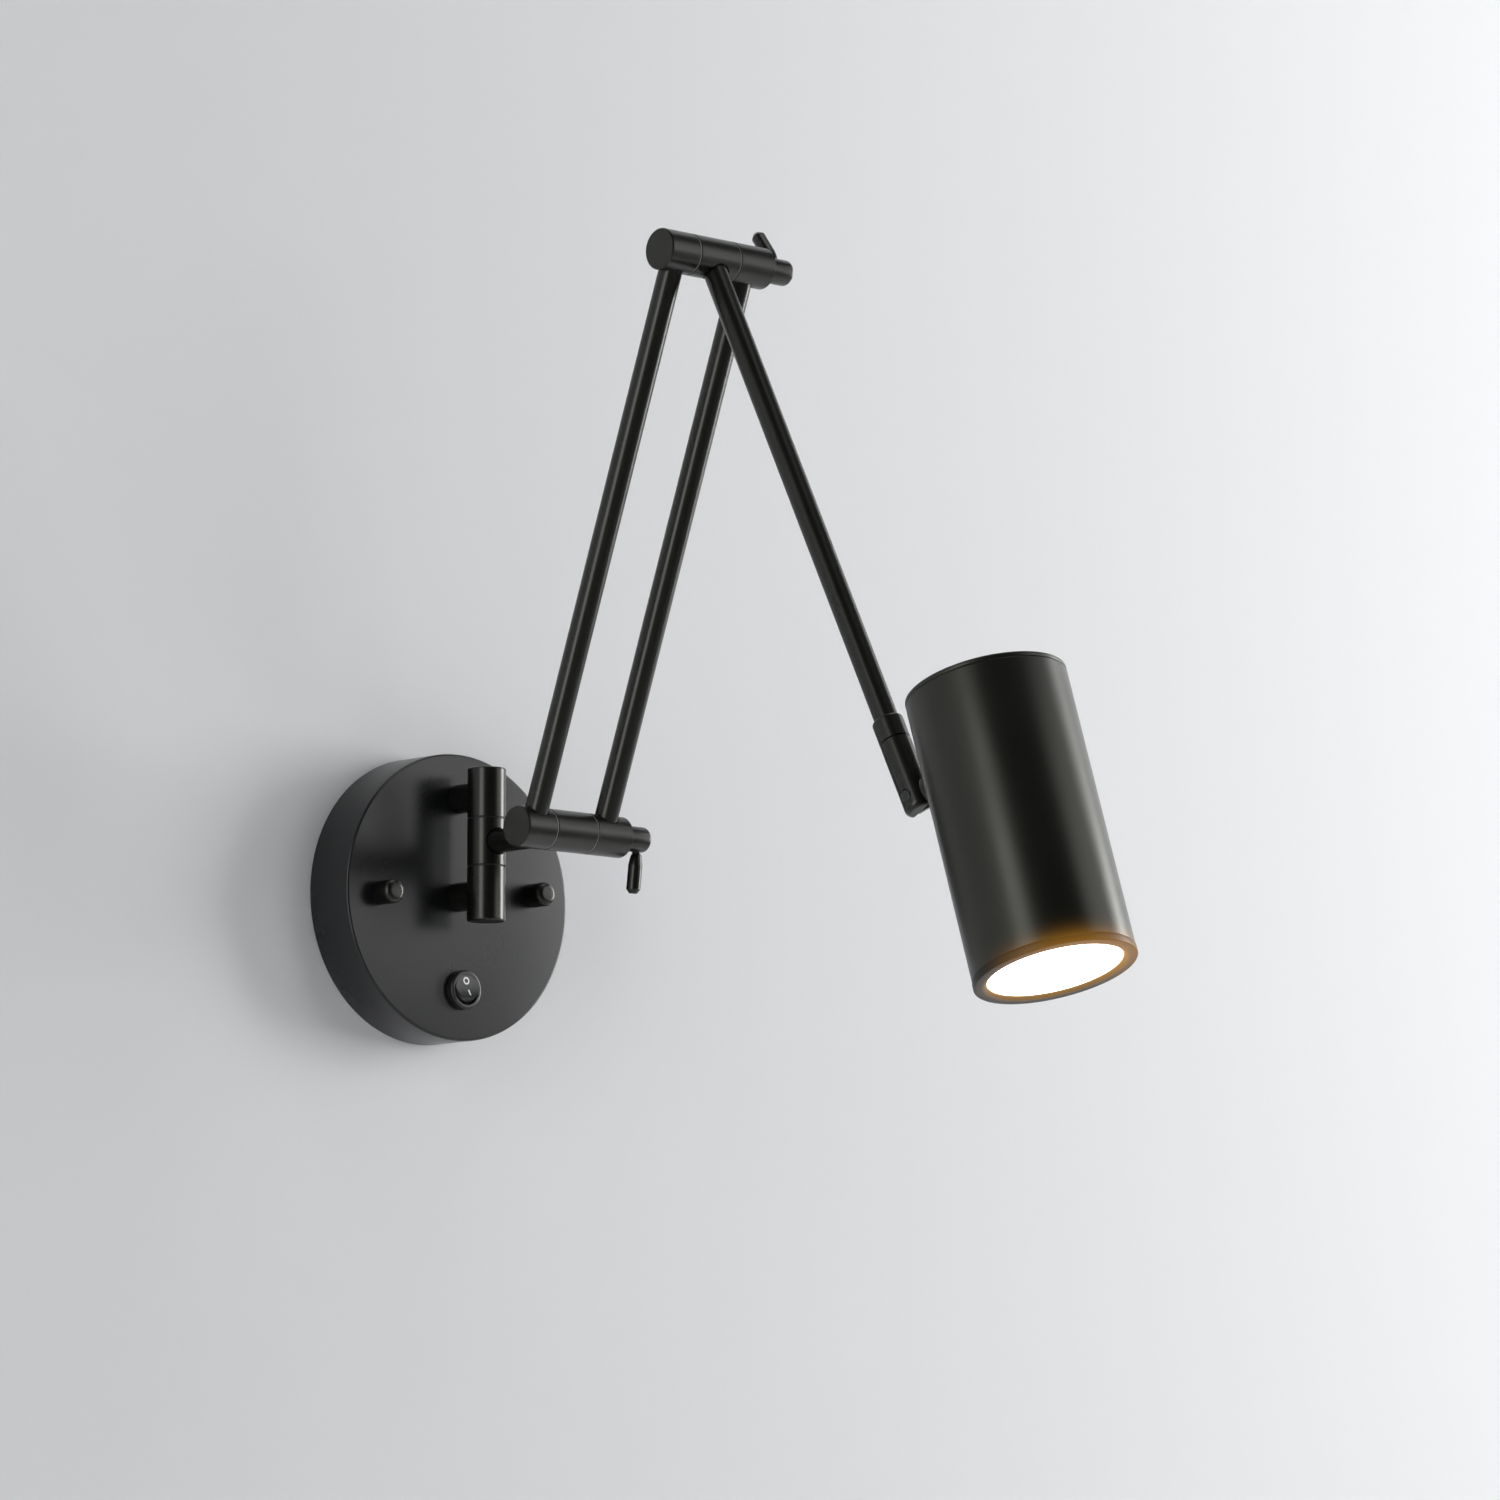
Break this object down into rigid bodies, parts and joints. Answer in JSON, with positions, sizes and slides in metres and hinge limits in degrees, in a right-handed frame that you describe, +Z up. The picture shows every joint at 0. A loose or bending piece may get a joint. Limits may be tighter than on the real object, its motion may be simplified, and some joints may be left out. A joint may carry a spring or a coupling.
{
  "type": "articulating wall lamp",
  "caption": "Swing-arm wall lamp: round canopy with a rocker switch, swivel barrel, twin-rod lower arm, single-tube forearm and a cylindrical spot head on a swivel knuckle.",
  "frame": {"origin": "centre of the canopy's back, on the wall", "axes": "+X right facing the wall, +Y into the wall, +Z up"},
  "size_m": [0.12, 0.3999, 0.3333],
  "materials": {
    "black_metal": "matt black powder coat",
    "shade_metal": "matt black powder coat on the shade",
    "black_screw": "blackened screw heads",
    "zinc_steel": "zinc-plated steel, hidden in use",
    "brass": "plain brass",
    "white_plastic": "white moulded plastic",
    "switch_plastic": "black moulded plastic",
    "rocker_plastic": "black moulded plastic with white marks",
    "washer_plastic": "black slip washers",
    "diffuser": "opal diffuser, lit",
    "reflector": "bright spun aluminium",
    "led_board": "white board with the light source",
    "heat_sink": "plain cast aluminium"
  },
  "bodies": {
    "base": {"mounting_bracket": "zinc_steel", "canopy_studs": "zinc_steel", "stud_nuts": "zinc_steel", "earth_screw": "brass", "canopy": "black_metal", "cap_nuts": "black_metal", "led_driver": "white_plastic", "terminal_block": "white_plastic", "switch_body": "switch_plastic", "switch_terminals": "brass", "rocker_pin": "zinc_steel", "upper_post": "black_metal", "lower_post": "black_metal", "post_nuts": "zinc_steel", "upper_barrel": "black_metal", "lower_barrel": "black_metal", "barrel_washers": "washer_plastic", "swivel_pin": "zinc_steel"},
    "swivel": {"swivel_barrel": "black_metal", "arm_stub": "black_metal", "lower_hub_centre": "black_metal"},
    "lower_arm": {"lower_hub_left": "black_metal", "lower_hub_right": "black_metal", "lower_hub_washers": "washer_plastic", "rod_left": "black_metal", "rod_right": "black_metal", "upper_hub_left": "black_metal", "upper_hub_right": "black_metal", "upper_hub_washers": "washer_plastic"},
    "forearm": {"upper_hub_centre": "black_metal", "forearm_tube": "black_metal", "knuckle_collar": "black_metal"},
    "knuckle": {"knuckle_sleeve": "black_metal", "swivel_screw": "zinc_steel", "pivot_screw": "black_screw", "pivot_nut": "black_screw"},
    "head": {"shade_lug": "black_metal", "lug_nut": "zinc_steel", "shade_tube": "shade_metal", "shade_cap": "shade_metal", "bezel_ring": "shade_metal", "diffuser": "diffuser", "reflector": "reflector", "led_board": "led_board", "heat_sink": "heat_sink"},
    "rocker": {"switch_rocker": "rocker_plastic"},
    "lower_clamp": {"lower_clamp_bolt": "zinc_steel", "lower_clamp_knob": "black_metal", "lower_clamp_lever": "black_metal"},
    "upper_clamp": {"upper_clamp_bolt": "zinc_steel", "upper_clamp_knob": "black_metal", "upper_clamp_lever": "black_metal"}
  },
  "joints": [
    {"name": "base_swivel", "type": "hinge", "parent": "base", "child": "swivel", "pos_m": [0, -0.0417, 0.0213], "axis": [0, 0, 1], "range_deg": [-70, 50]},
    {"name": "lower_arm_tilt", "type": "hinge", "parent": "swivel", "child": "lower_arm", "pos_m": [0, -0.0921, 0.0213], "axis": [1, 0, 0], "range_deg": [-30, 70]},
    {"name": "elbow_tilt", "type": "hinge", "parent": "lower_arm", "child": "forearm", "pos_m": [0, -0.17759, 0.24695], "axis": [-1, 0, 0], "range_deg": [-10, 110]},
    {"name": "head_swivel", "type": "hinge", "parent": "forearm", "child": "knuckle", "pos_m": [0, -0.28382, 0.03845], "axis": [0, -0.454, -0.891], "range_deg": [-165, 165]},
    {"name": "head_tilt", "type": "hinge", "parent": "knuckle", "child": "head", "pos_m": [0, -0.29536, 0.01582], "axis": [1, 0, 0], "range_deg": [-10, 75]},
    {"name": "switch_rocker", "type": "hinge", "parent": "base", "child": "rocker", "pos_m": [0.0021, -0.0239, -0.0387], "axis": [0.9903, 0, 0.1392], "range_deg": [0, 30]},
    {"name": "lower_clamp_turn", "type": "hinge", "parent": "lower_arm", "child": "lower_clamp", "pos_m": [0, -0.0921, 0.0213], "axis": [1, 0, 0], "range_deg": [-45, 45]},
    {"name": "upper_clamp_turn", "type": "hinge", "parent": "lower_arm", "child": "upper_clamp", "pos_m": [0, -0.17759, 0.24695], "axis": [1, 0, 0], "range_deg": [-45, 45]}
  ]
}
